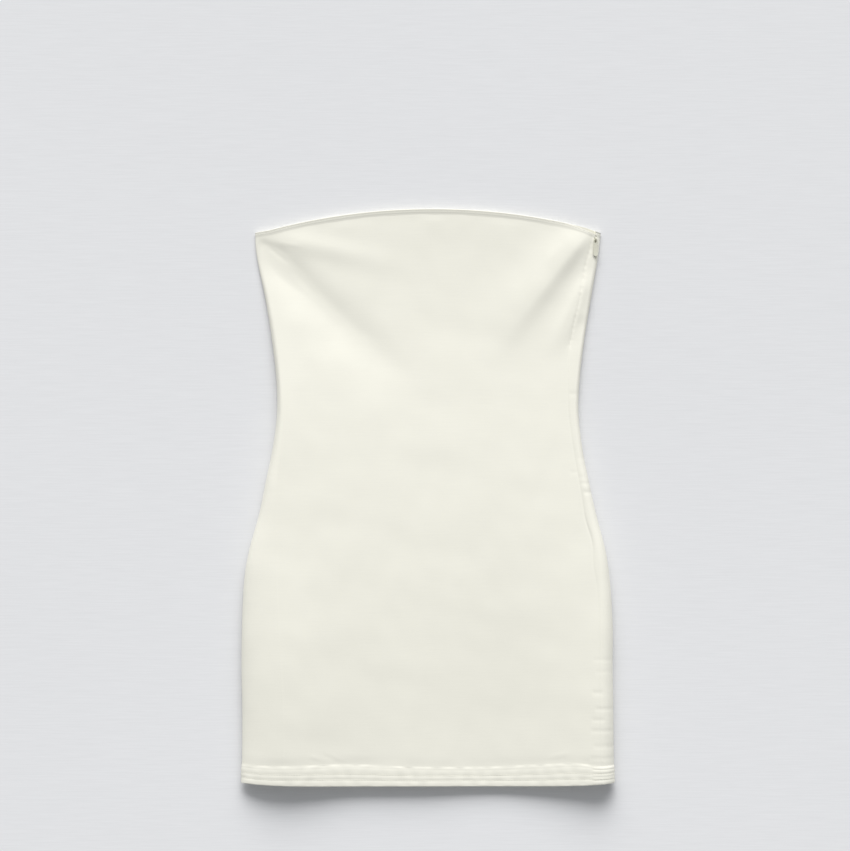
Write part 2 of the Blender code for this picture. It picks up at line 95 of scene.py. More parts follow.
# reach of the side folds and the height of the side seams
sideFold = {
    "down": (0.0, 44.0, 66.0, 130.0, 220.0, 320.0, 370.0, 420.0, 520.0, 634.5),
    "leftRound": (7.0, 6.5, 4.6, 5.2, 6.4, 16.0, 29.0, 37.0, 44.0, 46.0),
    "rightRound": (7.0, 6.8, 4.2, 3.4, 4.4, 8.0, 10.0, 12.0, 14.0, 15.0),
    "seam": (2.3, 2.3, 2.4, 3.2, 5.0, 6.6, 7.2, 7.6, 7.6, 7.2),
}

# the zip's slit: how far up the side fold it lies, in degrees
slit = {
    "down": (0.0, 46.0, 66.0, 82.0, 100.0, 634.5),
    "angle": (72.0, 70.0, 30.0, 4.0, 0.0, 0.0),
}

# the seam allowance inside shows as a raised band along the right side, with a groove where its seam pulls
seamBand = {
    "down": (24.0, 40.0, 62.0, 100.0, 155.0, 205.0, 250.0, 310.0, 340.0, 366.0, 390.0, 415.0, 450.0, 520.0,
             590.0, 634.5),
    "width": (8.5, 9.5, 12.0, 12.2, 14.6, 11.5, 9.5, 10.5, 13.0, 12.3, 15.4, 14.6, 13.6, 13.7, 13.7, 13.7),
    "rise": (0.4, 0.4, 0.4, 0.4, 0.45, 0.5, 0.4, 0.5, 0.6, 0.55, 0.4, 0.3, 0.3, 0.3, 0.3, 0.3),
    "groove": (0.0, 0.25, 0.45, 0.45, 0.25, 0.2, 0.18, 0.22, 0.35, 0.3, 0.15, 0.1, -0.16, -0.2, -0.2, -0.2),
}
seamBandEdge = {"soft": 1.8, "from": 24.0, "over": 10.0}

# folds over the front: start, end, half width above and below, spread at the end, height
folds = {
    "x0": (-177.0, -158.0, -186.0, 178.0, 177.0, 170.0),
    "down0": (47.0, 34.0, 36.0, 22.0, 74.0, 120.0),
    "x1": (-18.0, -40.0, -150.0, 78.0, 138.0, 150.0),
    "down1": (198.0, 59.0, 52.0, 148.0, 154.0, 166.0),
    "above": (13.5, 10.0, 4.0, 19.0, 8.0, 6.0),
    "below": (18.0, 11.0, 8.0, 9.0, 9.0, 8.0),
    "widen": (1.9, 1.4, 1.6, 1.9, 1.3, 1.3),
    "height": (-3.7, 1.4, -0.8, 4.1, 1.9, -0.8),
}
foldFade = {"before": 0.12, "rise": 0.3, "fallFrom": 0.45, "fall": 0.75}  # shares of a fold's length

# fine creases: short, narrow marks at the corners, above the hem and by the side seam
creases = {
    "x0": (-178.0, -168.0, -150.0, -128.0, 150.0, 166.0, -132.0, -118.0, -106.0, 128.0, -96.0),
    "down0": (40.0, 36.0, 66.0, 94.0, 36.0, 92.0, 600.0, 598.0, 601.0, 604.0, 118.0),
    "x1": (-150.0, -134.0, -116.0, -80.0, 128.0, 148.0, -108.0, -96.0, -84.0, 160.0, -52.0),
    "down1": (62.0, 42.0, 102.0, 136.0, 62.0, 140.0, 608.0, 608.0, 609.0, 596.0, 150.0),
    "half": (2.2, 2.0, 4.0, 5.0, 4.0, 3.0, 1.8, 1.6, 1.8, 2.4, 6.0),
    "height": (-0.25, 0.22, -0.16, 0.14, 0.18, -0.22, 0.22, -0.16, 0.14, 0.16, -0.12),
}

# puckers across the seam band: from x to x, and the depth and half width of each groove
puckers = {
    "x0": (155.0, 164.0, 156.0, 165.0, 167.0, 171.0, 181.0, 184.0, 180.5, 184.0, 180.0, 179.0, 182.0, 178.0),
    "x1": (165.0, 171.0, 162.0, 172.0, 175.0, 181.0, 199.0, 203.0, 189.0, 205.0, 191.0, 200.0, 203.0, 202.0),
    "down": (203.5, 274.0, 289.3, 294.8, 301.4, 311.3, 495.0, 508.0, 531.0, 549.0, 561.0, 573.0, 590.0, 603.0),
    "depth": (0.26, 0.22, 0.2, 0.26, 0.3, 0.5, 0.2, 0.18, 0.3, 0.34, 0.3, 0.3, 0.24, 0.3),
    "half": (1.5, 1.4, 1.4, 1.4, 1.5, 1.9, 1.4, 1.4, 2.0, 1.5, 1.6, 1.5, 1.6, 1.7),
}

# how far the hem band's upper edge strays from a straight line, and how deep the cloth dips beside it
hemWave = {
    "x": (-204.0, -184.6, -140.0, -88.9, -19.6, 58.5, 120.0, 162.0, 189.4, 206.0),
    "stray": (-0.7, -0.8, 0.9, 2.8, 0.0, -0.4, 2.1, 3.1, -1.4, -1.9),
    "dip": (0.2, 0.2, 0.25, 0.4, 0.12, 0.1, 0.15, 0.2, 0.4, 0.5),
}

# how far the open hem arches off the floor, more or less than the loft, and how far up that reaches
hemArch = {
    "x": (-205.0, -184.0, -141.0, -86.0, -3.0, 79.0, 145.0, 189.0, 205.0),
    "lift": (0.8, 1.6, 2.3, -1.2, -0.6, -3.6, -0.6, 3.0, 2.4),
}
hemArchReach = {"from": 330.0, "over": 300.0}


def along(table, name, place):
    # smooth value of a table's column at a place in its first column: cubics with slopes from the rows around
    at = np.array(next(iter(table.values())))
    value = np.array(table[name])
    slope = np.gradient(value, at)
    slope[1:-1] = (value[2:] - value[:-2]) / (at[2:] - at[:-2])
    place = np.clip(place, at[0], at[-1])
    row = np.clip(np.searchsorted(at, place) - 1, 0, len(at) - 2)
    span = at[row + 1] - at[row]
    t = (place - at[row]) / span
    rise = value[row + 1] - value[row]
    enter = slope[row] * span - rise
    leave = rise - slope[row + 1] * span
    return value[row] + t * rise + t * (1 - t) * (enter * (1 - t) + leave * t)


def ease(t):
    t = np.clip(t, 0.0, 1.0)
    return t * t * (3 - 2 * t)


def topLine(x):
    radius = dress["topArcRadius"]
    reach = dress["cornerReach"]
    arc = radius - np.sqrt(radius ** 2 - (x - dress["topArcMiddle"]) ** 2)
    toRight = ease((x - dress["topHalfWidth"] + reach) / reach)
    toLeft = ease((reach - x - dress["topHalfWidth"]) / reach)
    return arc + dress["rightCornerSag"] * toRight - dress["leftCornerRise"] * toLeft


def hemLine(x):
    return dress["length"] - dress["hemCornerRise"] * np.abs(x / dress["hemHalfWidth"]) ** 6


def foldHeight(x, down):
    total = np.zeros(np.broadcast(x, down).shape)
    for x0, down0, x1, down1, above, below, widen, height in zip(*folds.values()):
        runX, runDown = x1 - x0, down1 - down0
        run = math.hypot(runX, runDown)
        t = ((x - x0) * runX + (down - down0) * runDown) / run ** 2
        off = ((x - x0) * runDown - (down - down0) * runX) / math.copysign(run, runX)
        half = np.where(off > 0, above, below) * (1 + (widen - 1) * np.clip(t, 0, 1))
        start = ease((t + foldFade["before"]) / foldFade["rise"])
        end = 1 - ease((t - foldFade["fallFrom"]) / foldFade["fall"])
        total += height * start * end * np.exp(-(off / half) ** 2)
    return total


def settle(height):
    # the front never sinks into the back panel that it lies on
    lying = dress["layers"] + dress["lyingRoom"]
    soft = dress["lyingSoftness"]
    over = np.minimum(height - lying - soft, 0.0)
    return np.where(over < 0, lying + soft * np.exp(over / soft), height)


def frontHeight(x, down):
    leftIn = -along(outline, "left", down) + along(sideFold, "leftRound", down)
    rightEdge = along(outline, "right", down)
    rightIn = rightEdge - along(sideFold, "rightRound", down)
    middle = along(loft, "middle", down)
    middleAt = dress["loftMiddle"]
    toLeft = np.clip((middleAt - x) / (middleAt - leftIn), 0, 1) ** dress["loftCurve"]
    toRight = np.clip((x - middleAt) / (rightIn - middleAt), 0, 1) ** dress["loftCurve"]
    height = middle + (along(loft, "left", down) - middle) * toLeft
    height += (along(loft, "right", down) - middle) * toRight
    soft = seamBandEdge["soft"]
    band = ease((x - (rightEdge - along(seamBand, "width", down) - soft / 2)) / soft)
    band = band * ease((down - seamBandEdge["from"]) / seamBandEdge["over"])
    height += along(hemArch, "lift", x) * ease((down - hemArchReach["from"]) / hemArchReach["over"])
    return settle(height + along(seamBand, "rise", down) * band + foldHeight(x, down))


class ClothRows:
    # lines across the dress, all of them at once, with the sizes of their two side folds
    def __init__(self, share, fromTop, fromHem):
        self.share = np.atleast_1d(np.asarray(share, float))[:, None]
        self.fromTop = np.atleast_1d(np.asarray(fromTop, float))[:, None]
        self.fromHem = np.atleast_1d(np.asarray(fromHem, float))[:, None]
        self.leftDown = self.downAt(-dress["topHalfWidth"], -dress["hemHalfWidth"])
        self.rightDown = self.downAt(dress["topHalfWidth"], dress["hemHalfWidth"])
        self.edge = {-1: -along(outline, "left", self.leftDown), 1: along(outline, "right", self.rightDown)}
        self.round = {-1: along(sideFold, "leftRound", self.leftDown),
                      1: along(sideFold, "rightRound", self.rightDown)}
        self.seam = {-1: along(sideFold, "seam", self.leftDown), 1: along(sideFold, "seam", self.rightDown)}
        self.slit = np.radians(np.maximum(along(slit, "angle", self.rightDown), 0))
        nearSlider = np.abs(self.rightDown - zipper["hingeDown"])
        closing = ease((nearSlider - zipper["slitOpen"]) / zipper["slitEase"])
        self.slitExtra = zipper["slitExtra"] * (1 - closing)

    def downAt(self, topX, hemX):
        stray = 1 + along(hemWave, "stray", hemX) / dress["hemWidth"]
        top = topLine(topX) + self.fromTop
        low = hemLine(hemX) - self.fromHem * stray
        return top + (low - top) * self.share

    def down(self, x):
        across = 2 * (x - self.edge[-1]) / (self.edge[1] - self.edge[-1]) - 1
        return self.downAt(dress["topHalfWidth"] * across, dress["hemHalfWidth"] * across)

    def foldOver(self, side, angle, inset):
        # upper part of a side fold: angle 0 is the outline, 90 degrees the shoulder
        edge, reach, seam = self.edge[side], self.round[side], self.seam[side]
        outerX = edge - side * reach * (1 - np.cos(angle))
        down = self.down(outerX)
        x = edge - side * (inset + (reach - inset) * (1 - np.cos(angle)))
        z = seam + (frontHeight(outerX, down) - inset - seam) * np.sin(angle)
        return np.stack(np.broadcast_arrays(x, down, z), -1)

    def foldUnder(self, side, angle, inset, proud=0.0):
        # lower part of a side fold: angle 0 is the outline, 90 degrees the flat underside
        edge, reach, seam = self.edge[side], self.round[side] * dress["underRound"], self.seam[side]
        outerX = edge - side * reach * (1 - np.cos(angle))
        depth = inset - proud
        x = edge - side * (depth + (reach - depth) * (1 - np.cos(angle)))
        z = seam + (inset - seam) * np.sin(angle)
        return np.stack(np.broadcast_arrays(x, self.down(outerX), z), -1)

    def topAt(self, share, inset):
        start = self.edge[-1] + self.round[-1]
        end = self.edge[1] - self.round[1]
        x = start + (end - start) * share
        down = self.down(x)
        return np.stack(np.broadcast_arrays(x, down, frontHeight(x, down) - inset), -1)

    def flatAt(self, share, inset):
        start = self.edge[-1] + self.round[-1] * dress["underRound"]
        end = self.edge[1] - self.round[1] * dress["underRound"]
        x = start + (end - start) * share
        return np.stack(np.broadcast_arrays(x, self.down(x), inset), -1)

    def slitGap(self, inset):
        x = self.edge[1] - self.round[1] * (1 - np.cos(self.slit))
        rise = frontHeight(x, self.down(x)) - inset - self.seam[1]
        perAngle = np.hypot((self.round[1] - inset) * np.sin(self.slit), rise * np.cos(self.slit))
        return (dress["seamGap"] / 2 + self.slitExtra) / perAngle

    def leftGap(self, inset, upper):
        x = self.edge[-1]
        room = frontHeight(x, self.down(x)) - inset - self.seam[-1] if upper else self.seam[-1] - inset
        return np.arcsin(dress["seamGap"] / 2 / np.maximum(room, 2 * dress["seamGap"]))


def seamRoll(count, where):
    # cloth turns in at a seam: extra depth of the first or last columns
    depth = np.zeros(count)
    steps = np.array(dress["turnIn"])
    if where == "start":
        depth[:len(steps)] = steps
    else:
        depth[-len(steps):] = steps[::-1]
    return depth[None, :]


def crowded(count, crowding=0.5):
    t = np.linspace(0, 1, count + 1)
    return (1 - crowding) * t + crowding * (1 - np.cos(math.pi * t)) / 2


def frontGrid(rows, inset, columns):
    # the front across every row, from the left seam over the top to the slit
    inset = np.asarray(inset, float)
    inset = inset[:, None] if inset.ndim == 1 else inset
    left, top, right = columns
    crowding = dress["seamCrowding"]
    t = np.linspace(0, 1, left, endpoint=False)[None, :] ** crowding
    start = rows.leftGap(0.0, True)
    deep = inset + seamRoll(left, "start")
    leftPart = rows.foldOver(-1, start + (quarter - start) * t, deep)
    topPart = rows.topAt(crowded(top)[None, :], inset)
    stop = rows.slit + rows.slitGap(0.0)
    t = np.linspace(0, 1, right + 1)[None, 1:]
    t = 1 - (1 - t) ** crowding
    deep = inset + seamRoll(right, "end")
    rightPart = rows.foldOver(1, quarter + (stop - quarter) * t, deep)
    return np.concatenate((leftPart, topPart, rightPart), 1)


def backGrid(rows, inset, columns, proud=0.0):
    # the back across every row, from the left seam, under the dress, to the slit
    inset = np.asarray(inset, float)
    inset = inset[:, None] if inset.ndim == 1 else inset
    proud = np.asarray(proud, float)
    proud = proud[:, None] if proud.ndim == 1 else proud
    left, flat, right = columns
    crowding = dress["seamCrowding"]
    start = rows.leftGap(0.0, False)
    t = np.linspace(0, 1, left, endpoint=False)[None, :] ** crowding
    deep = -seamRoll(left, "start")
    leftPart = rows.foldUnder(-1, start + (quarter - start) * t, inset, proud + deep)
    flatPart = rows.flatAt(np.linspace(0, 1, flat + 1)[None, :], inset)
    stop = rows.slit - rows.slitGap(0.0)
    t = np.linspace(0, 1, right + 1)[None, 1:]
    t = 1 - (1 - t) ** crowding
    angle = (quarter + stop) * t - quarter
    deep = seamRoll(right, "end")
    under = rows.foldUnder(1, np.maximum(-angle, 0), inset, proud - deep)
    over = rows.foldOver(1, np.maximum(angle, 0), inset - proud + deep)
    rightPart = np.where((angle < 0)[..., None], under, over)
    return np.concatenate((leftPart, flatPart, rightPart), 1)


def toWorld(grid):
    # x, down, z in millimetres to metres
    out = np.empty(grid.shape)
    out[..., 0] = grid[..., 0] * mm
    out[..., 1] = (dress["length"] / 2 - grid[..., 1]) * mm
    out[..., 2] = grid[..., 2] * mm
    return out


def clothPlace(grid):
    # millimetres along the cloth: across from the middle column, and down
    step = np.linalg.norm(np.diff(grid, axis=1), axis=-1)
    across = np.concatenate((np.zeros((len(grid), 1)), np.cumsum(step, 1)), 1)
    across -= across[:, grid.shape[1] // 2][:, None]
    return np.stack((across, grid[..., 1], np.zeros(across.shape)), -1)


def evenIndex(count, step):
    picked = list(range(0, count - 1, step))
    return np.array(picked + [count - 1])


def buildMesh(name, points, faces, material, cloth=None, sharp=50.0):
    mesh = bpy.data.meshes.new(name)
    mesh.from_pydata(points.tolist(), [], faces)
    mesh.validate(clean_customdata=False)
    mesh.shade_smooth()
    mesh.set_sharp_from_angle(angle=math.radians(sharp))
    if cloth is not None:
        weave = mesh.attributes.new("cloth", "FLOAT_VECTOR", "POINT")
        weave.data.foreach_set("vector", (cloth * mm).ravel())
    mesh.materials.append(material)
    piece = bpy.data.objects.new(name, mesh)
    bpy.context.scene.collection.objects.link(piece)
    return piece


def clothShell(name, outer, inner, material, coarse=(4, 4)):
    # a closed wall of cloth; its inner side takes every few rows and columns of the outer side
    rows, columns = outer.shape[:2]
    pickRow, pickColumn = evenIndex(rows, coarse[0]), evenIndex(columns, coarse[1])
    outerId = np.arange(rows * columns).reshape(rows, columns)
    innerId = rows * columns + np.arange(len(pickRow) * len(pickColumn)).reshape(len(pickRow), len(pickColumn))
    a, b, c, d = outerId[:-1, :-1], outerId[1:, :-1], outerId[1:, 1:], outerId[:-1, 1:]
    faces = np.stack((a, b, c, d), -1).reshape(-1, 4).tolist()
    a, b, c, d = innerId[:-1, :-1], innerId[:-1, 1:], innerId[1:, 1:], innerId[1:, :-1]
    faces += np.stack((a, b, c, d), -1).reshape(-1, 4).tolist()
    for i in range(len(pickColumn) - 1):
        low, high = pickColumn[i], pickColumn[i + 1]
        faces.append([*outerId[0, low:high + 1].tolist(), int(innerId[0, i + 1]), int(innerId[0, i])])
        faces.append([*outerId[-1, low:high + 1][::-1].tolist(), int(innerId[-1, i]), int(innerId[-1, i + 1])])
    for i in range(len(pickRow) - 1):
        low, high = pickRow[i], pickRow[i + 1]
        faces.append([*outerId[low:high + 1, 0][::-1].tolist(), int(innerId[i, 0]), int(innerId[i + 1, 0])])
        faces.append([*outerId[low:high + 1, -1].tolist(), int(innerId[i + 1, -1]), int(innerId[i, -1])])
    coarseInner = inner[np.ix_(pickRow, pickColumn)]
    points = np.concatenate((toWorld(outer).reshape(-1, 3), toWorld(coarseInner).reshape(-1, 3)))
    cloth = np.concatenate((clothPlace(outer).reshape(-1, 3), clothPlace(coarseInner).reshape(-1, 3)))
    return buildMesh(name, points, faces, material, cloth)


# Shader maths

class Value:
    # one output of a node, with arithmetic that adds Math nodes
    def __init__(self, paint, socket):
        self.paint = paint
        self.socket = socket

    def maths(self, operation, first, second=0.0):
        return self.paint.add("ShaderNodeMath", {"operation": operation}, {0: first, 1: second})

    def __add__(self, other):
        return self.maths("ADD", self, other)

    def __sub__(self, other):
        return self.maths("SUBTRACT", self, other)

    def __rsub__(self, other):
        return self.maths("SUBTRACT", other, self)

    def __mul__(self, other):
        return self.maths("MULTIPLY", self, other)

    def __truediv__(self, other):
        return self.maths("DIVIDE", self, other)

    __radd__ = __add__
    __rmul__ = __mul__

    def sine(self):
        return self.maths("SINE", self)

    def fraction(self):
        return self.maths("FRACT", self)

    def size(self):
        return self.maths("ABSOLUTE", self)


class Paint:
    # a material built from nodes
    def __init__(self, name):
        self.material = bpy.data.materials.new(name)
        self.material.use_nodes = True
        self.nodes = self.material.node_tree.nodes
        self.links = self.material.node_tree.links
        self.shader = self.nodes["Principled BSDF"]

    def add(self, kind, settings=None, values=None, output=0):
        node = self.nodes.new(kind)
        for key, setting in (settings or {}).items():
            if key == "stops":
                ramp = node.color_ramp
                while len(ramp.elements) < len(setting):
                    ramp.elements.new(0.5)
                for element, (place, colour) in zip(ramp.elements, setting):
                    element.position = place
                    element.color = colour
            else:
                setattr(node, key, setting)
        for key, value in (values or {}).items():
            self.join(value, node.inputs[key])
        return Value(self, node.outputs[output])

    def join(self, value, socket):
        if isinstance(value, Value):
            self.links.new(value.socket, socket)
        elif value is not None:
            socket.default_value = value

    def constants(self, **values):
        for key, value in values.items():
            self.shader.inputs[key.replace("_", " ")].default_value = value

    def place(self, source):
        # where on the cloth, or in space, in metres
        if source == "cloth":
            return self.add("ShaderNodeAttribute", {"attribute_type": "GEOMETRY", "attribute_name": "cloth"},
                            output="Vector")
        return self.add("ShaderNodeTexCoord", output="Object")

    def split(self, vector):
        return [self.add("ShaderNodeSeparateXYZ", {}, {0: vector}, output=i) for i in range(3)]

    def noise(self, vector, scale, stretch=(1, 1, 1), detail=2.0, roughness=0.5):
        where = self.add("ShaderNodeVectorMath", {"operation": "MULTIPLY"},
                         {0: vector, 1: tuple(scale * s for s in stretch)})
        return self.add("ShaderNodeTexNoise", {}, {"Vector": where, "Scale": 1.0, "Detail": detail,
                                                   "Roughness": roughness})

    def blend(self, share, first, second):
        return self.add("ShaderNodeMix", {"data_type": "RGBA"}, {0: share, 6: first, 7: second}, output=2)

    def bump(self, height, strength, distance):
        normal = self.add("ShaderNodeBump", {}, {"Strength": strength, "Distance": distance, "Height": height})
        self.join(normal, self.shader.inputs["Normal"])

    def colour(self, value):
        self.join(value, self.shader.inputs["Base Color"])


def shade(colour, share):
    return (colour[0] * share, colour[1] * share, colour[2] * share, 1.0)


jerseyLook = {
    "colour": (0.842, 0.8285, 0.7405),
    "dark": 0.975,
    "light": 1.02,
    "waleWidth": 0.85,      # one column of knit stitches
    "courseHeight": 0.62,   # one row of knit stitches
    "knitDepth": 0.05,
    "roughness": 0.72,
}


def knitHeight(paint, where, waleWidth, courseHeight):
    # V-shaped stitches: two leaning legs in each column, and a new stitch every course
    across, down, _ = paint.split(where)
    wale = (across / (waleWidth * mm)).fraction() - 0.5
    lean = wale.size() * 0.9
    course = ((down / (courseHeight * mm) + lean).fraction() - 0.5).size() * 2
    leg = 1 - ((wale.size() - 0.25) * 4).size()
    return leg * 0.6 + (1 - course) * 0.4


def jersey(name, look, paintedShadeShare=1.0):
    paint = Paint(name)
    where = paint.place("cloth")
    knit = knitHeight(paint, where, look["waleWidth"], look["courseHeight"])
    cloud = paint.noise(where, 26.0, (1, 0.8, 1), 2.0)
    streak = paint.noise(where, 60.0, (0.5, 14, 1), 3.0, 0.6)
    slub = paint.noise(where, 900.0, (0.35, 1, 1), 1.0)
    share = cloud * 0.35 + streak * 0.45 + slub * 0.2
    # a share below 1 paints the whole jersey darker: painted shade, used for the binding
    base = tuple(c * paintedShadeShare for c in look["colour"])
    stops = ((0.3, shade(base, look["dark"])), (0.7, shade(base, look["light"])))
    paint.colour(paint.add("ShaderNodeValToRGB", {"stops": stops}, {0: share}))
    paint.join(0.06 * streak + (look["roughness"] - 0.03), paint.shader.inputs["Roughness"])
    paint.constants(Sheen_Weight=0.12, Sheen_Roughness=0.45, Specular_IOR_Level=0.3)
    paint.bump(knit * 0.6 + slub * 0.25 + streak * 0.5, 0.35, look["knitDepth"] * mm)
    return paint.material


def threadMaterial():
    paint = Paint("sewing thread")
    where = paint.place("object")
    twist = paint.noise(where, 2600.0, (1, 1, 1), 2.0)
    base = (0.80, 0.79, 0.70)
    paint.colour(paint.blend(twist, shade(base, 0.9), shade(base, 1.05)))
    paint.join(0.4 + twist * 0.2, paint.shader.inputs["Roughness"])
    paint.bump(twist, 0.4, 0.03 * mm)
    return paint.material


def tapeMaterial():
    paint = Paint("woven zip tape")
    where = paint.place("cloth")
    across, down, _ = paint.split(where)
    twill = ((across + down * 0.8) * (math.tau / (0.7 * mm))).sine()
    fuzz = paint.noise(where, 700.0, (1, 1, 1), 2.0)
    base = (0.76, 0.745, 0.645)
    paint.colour(paint.blend(fuzz, shade(base, 0.92), shade(base, 1.03)))
    paint.join(0.72 + fuzz * 0.12, paint.shader.inputs["Roughness"])
    paint.bump(twill * 0.5 + fuzz, 0.5, 0.06 * mm)
    return paint.material


def coilMaterial():
    paint = Paint("nylon coil")
    where = paint.place("object")
    haze = paint.noise(where, 1500.0, (1, 1, 1), 2.0)
    base = (0.79, 0.775, 0.68)
    paint.colour(paint.blend(haze, shade(base, 0.93), shade(base, 1.04)))
    paint.join(0.3 + haze * 0.12, paint.shader.inputs["Roughness"])
    paint.bump(haze, 0.15, 0.02 * mm)
    return paint.material


def enamelMaterialPaintedShade():
    paint = Paint("cream enamel")
    where = paint.place("object")
    ripple = paint.noise(where, 1300.0, (1, 1, 1), 2.0)
    wear = paint.noise(where, 420.0, (1, 1, 1), 4.0, 0.65)
    # the cream is painted darker than the dress's matching cream: painted shade for the slider and tab, which
    # lie in the shade at the side fold
    base = (0.69, 0.68, 0.575)
    paint.colour(paint.blend(wear, shade(base, 0.94), shade(base, 1.03)))
    paint.join(0.3 + wear * 0.16, paint.shader.inputs["Roughness"])
    paint.constants(Coat_Weight=0.25, Coat_Roughness=0.25)
    paint.bump(ripple, 0.12, 0.04 * mm)
    return paint.material


def tableMaterial():
    # pale cloth-covered table with fine threads across
    paint = Paint("pale table cloth")
    where = paint.place("object")
    threads = paint.noise(where, 420.0, (0.06, 1.6, 1), 3.0, 0.6)
    patch = paint.noise(where, 1.6, (1, 1, 1), 2.0)
    share = threads * 0.8 + patch * 0.2
    base = (0.760, 0.765, 0.782)
    stops = ((0.25, shade(base, 0.965)), (0.75, shade(base, 1.03)))
    paint.colour(paint.add("ShaderNodeValToRGB", {"stops": stops}, {0: share}))
    paint.constants(Roughness=0.95, Specular_IOR_Level=0.1)
    paint.bump(threads, 0.2, 0.15 * mm)
    return paint.material


jerseyCloth = jersey("off-white jersey", jerseyLook)
# the binding is the same jersey painted 5% darker: painted shade for its edge, which curves away from the
# light
bindingClothPaintedShade = jersey("off-white jersey binding", jerseyLook, 0.95)
thread = threadMaterial()
print("materials made")


# Small relief of the front: undulation, fine creases, puckers and the dimples of the zip's stitching

relief = {
    "waves": 26,
    "waveHeight": 0.045,
    "waveShortest": 26.0,
    "waveLongest": 90.0,
    "seed": 11,
    "creaseRise": 0.3,      # shares of a crease's length over which it rises, and where and how it ends
    "creaseFallFrom": 0.6,
    "creaseFall": 0.4,
    "puckerEase": 3.0,
    "dimpleFrom": 38.0,
    "dimpleTo": 150.0,
    "dimpleStep": 6.2,
    "dimpleDepth": 0.4,
    "dimpleHalf": 2.0,
    "dimpleStray": (-0.8, 0.4),
    "dimpleDepths": (0.5, 1.2),   # shares of the depth and of the step
    "dimpleSteps": (0.75, 1.3),
    "grooveHalf": 1.5,
    "fadeRows": 4.0,
    "fadeLeft": 0.5,        # share of the left fold's columns
    "fadeRight": 4.0,       # columns at the slit
}


def smallRelief(x, down):
    dice = np.random.default_rng(relief["seed"])
    total = np.zeros(np.broadcast(x, down).shape)
    for _ in range(relief["waves"]):
        length = dice.uniform(relief["waveShortest"], relief["waveLongest"])
        heading = dice.uniform(0, math.pi)
        phase = dice.uniform(0, math.tau)
        turn = (x * math.cos(heading) + down * math.sin(heading)) * math.tau / length
        total += relief["waveHeight"] * length / relief["waveLongest"] * np.sin(turn + phase)
    for x0, down0, x1, down1, half, height in zip(*creases.values()):
        runX, runDown = x1 - x0, down1 - down0
        run = math.hypot(runX, runDown)
        t = ((x - x0) * runX + (down - down0) * runDown) / run ** 2
        off = ((x - x0) * runDown - (down - down0) * runX) / run
        end = 1 - ease((t - relief["creaseFallFrom"]) / relief["creaseFall"])
        total += height * ease(t / relief["creaseRise"]) * end * np.exp(-(off / half) ** 2)
    for x0, x1, at, depth, half in zip(*puckers.values()):
        soft = relief["puckerEase"]
        inside = ease((x - x0 + soft / 2) / soft) * (1 - ease((x - x1 - soft / 2) / soft))
        total -= depth * inside * np.exp(-((down - at) / half) ** 2)
    seamX = along(outline, "right", down) - along(seamBand, "width", down)
    total -= along(seamBand, "groove", down) * np.exp(-((x - seamX) / relief["grooveHalf"]) ** 2)
    at = relief["dimpleFrom"]
    while at < relief["dimpleTo"]:
        lineX = along(outline, "right", at) - along(seamBand, "width", at)
        lineX += dice.uniform(*relief["dimpleStray"])
        depth = relief["dimpleDepth"] * dice.uniform(*relief["dimpleDepths"])
        spot = ((x - lineX) / relief["dimpleHalf"]) ** 2 + ((down - at) / relief["dimpleHalf"]) ** 2
        total -= depth * np.exp(-spot)
        at += relief["dimpleStep"] * dice.uniform(*relief["dimpleSteps"])
    return total


# Sizes of the zip, which the slit in the side fold follows too

zipper = {
    "length": 268.0,
    "tapeWidth": 11.0,
    "tapeWall": 0.6,
    "tapeGap": 0.5,
    "tapeDroop": 0.6,
    "tapeTuck": 6.0,
    "tapeFrom": 27.5,
    "tapeBehind": 2.2,      # how much deeper the tapes lie behind the slider, and how soon they are level
    "tapeEase": 3.0,
    "tapeRows": 150,
    "tapeColumns": (14, 9),  # over the side fold and under it
    "tapeFlat": (0.026, 0.281),
    "underCloth": 1.2,      # the solids' cloth, under which the tapes and the slider lie
    "hingeDown": 34.4,
    "slitExtra": 1.0,
    "slitOpen": 2.3,        # how far from the bridge the slit stays wide, and closes again
    "slitEase": 2.0,
    "sliderLength": 8.0,
    "sliderRoom": 1.5,
}


# Panels

frontPanel = {
    "rows": 292,
    "columns": (18, 246, 26),
    "flat": (0.441, 0.612),
    "area": 0.2325,
}

backPanel = {
    "rows": 150,
    "columns": (14, 150, 22),
    "flat": (0.441, 0.612),
    "area": 0.2325,
}


def panelRows(count):
    share = np.linspace(0, 1, count)
    return ClothRows(share, dress["bindingWidth"] + dress["seamGap"], dress["hemWidth"] + dress["seamGap"])


def clothNormals(grid):
    # unit normals of a grid in the x, down, z space: z up for the front
    acrossStep = np.gradient(grid, axis=1)
    downStep = np.gradient(grid, axis=0)
    normal = np.cross(acrossStep, downStep)
    return normal / np.maximum(np.linalg.norm(normal, axis=-1, keepdims=True), 1e-9)


def keepOffSeams(grid, columns):
    # relief fades at both seams and where the panel goes under the binding and the hem
    rows, count = grid.shape[:2]
    side = np.arange(count)
    fade = ease(side / (columns[0] * relief["fadeLeft"])) * ease((count - 1 - side) / relief["fadeRight"])
    row = np.arange(rows)
    ends = ease(row / relief["fadeRows"]) * ease((rows - 1 - row) / relief["fadeRows"])
    return fade[None, :] * ends[:, None]


def cornerDrop(x, atTop):
    # the front's top edge rolls back and hangs lower towards the zip, where the back's edge shows above it
    near = ease((x - binding["dropFrom"]) / binding["dropOver"])
    return near * (binding["dropTop"] if atTop else binding["dropLow"])


def bandDip(x, toBand):
    # the skirt sinks a little towards the hem band
    return along(hemWave, "dip", x) * ease(1 - toBand / hem["dipReach"])


